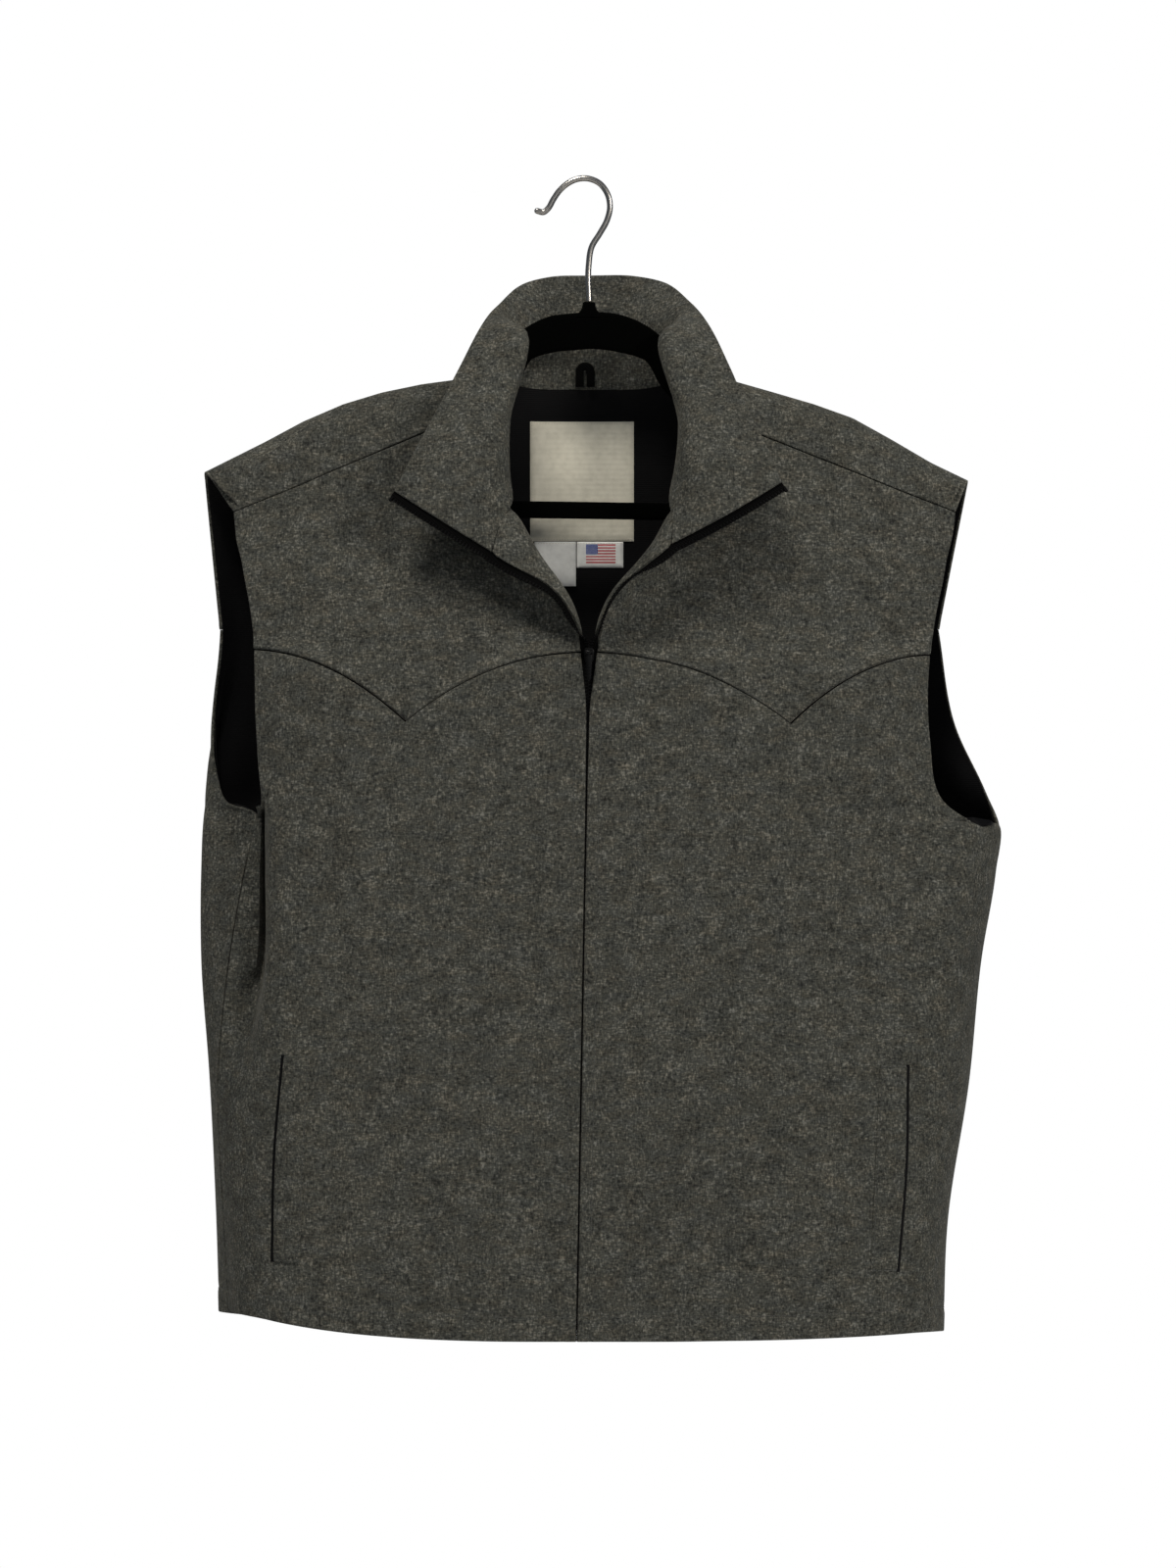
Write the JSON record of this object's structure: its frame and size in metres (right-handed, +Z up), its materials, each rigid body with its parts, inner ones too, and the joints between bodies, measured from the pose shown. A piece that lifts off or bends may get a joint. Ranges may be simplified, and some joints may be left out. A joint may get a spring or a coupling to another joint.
{
  "type": "wool vest on a hanger",
  "caption": "Sleeveless wool vest with a flared stand collar, western yoke, half-open front zip and welt pockets, hung on a flat flocked hanger with a wire hook.",
  "frame": {"origin": "inside of the hook's crown, where the hook rests on a rail or peg", "axes": "+Z up along the hanging garment, -Y out of the garment's front, +X towards the wearer's left side"},
  "size_m": [0.58, 0.1099, 0.8416],
  "materials": {
    "wool": "grey heathered melton wool, matte",
    "lining": "black woven lining, slight sheen",
    "zip_tape": "black zip tape with moulded teeth",
    "zip_metal": "black lacquered zip metal",
    "label_cream": "cream woven label",
    "label_white": "white printed-tape label, left plain",
    "hanger_flock": "black velvet flock on plastic",
    "hook_chrome": "polished chrome wire"
  },
  "bodies": {
    "garment": {"front_yoke_left": "wool", "front_yoke_right": "wool", "front_lower_left": "wool", "front_lower_right": "wool", "back_yoke": "wool", "back_lower": "wool", "collar_outer": "wool", "collar_inner": "wool", "facing_left": "wool", "facing_right": "wool", "pocket_welt_left": "wool", "pocket_welt_right": "wool", "lining_back": "lining", "lining_front_left": "lining", "lining_front_right": "lining", "hang_loop": "lining", "zip_tape_left": "zip_tape", "zip_tape_right": "zip_tape", "zip_slider": "zip_metal", "label_main": "label_cream", "label_care": "label_white", "label_origin": "label_white", "hanger_body": "hanger_flock", "hanger_hook": "hook_chrome"},
    "pull_tab": {"zip_pull": "zip_metal"}
  },
  "joints": [
    {"name": "pull_tab_hinge", "type": "hinge", "parent": "garment", "child": "pull_tab", "pos_m": [0.005, -0.0525, -0.34325], "axis": [-1, 0, 0], "range_deg": [0, 140]}
  ]
}
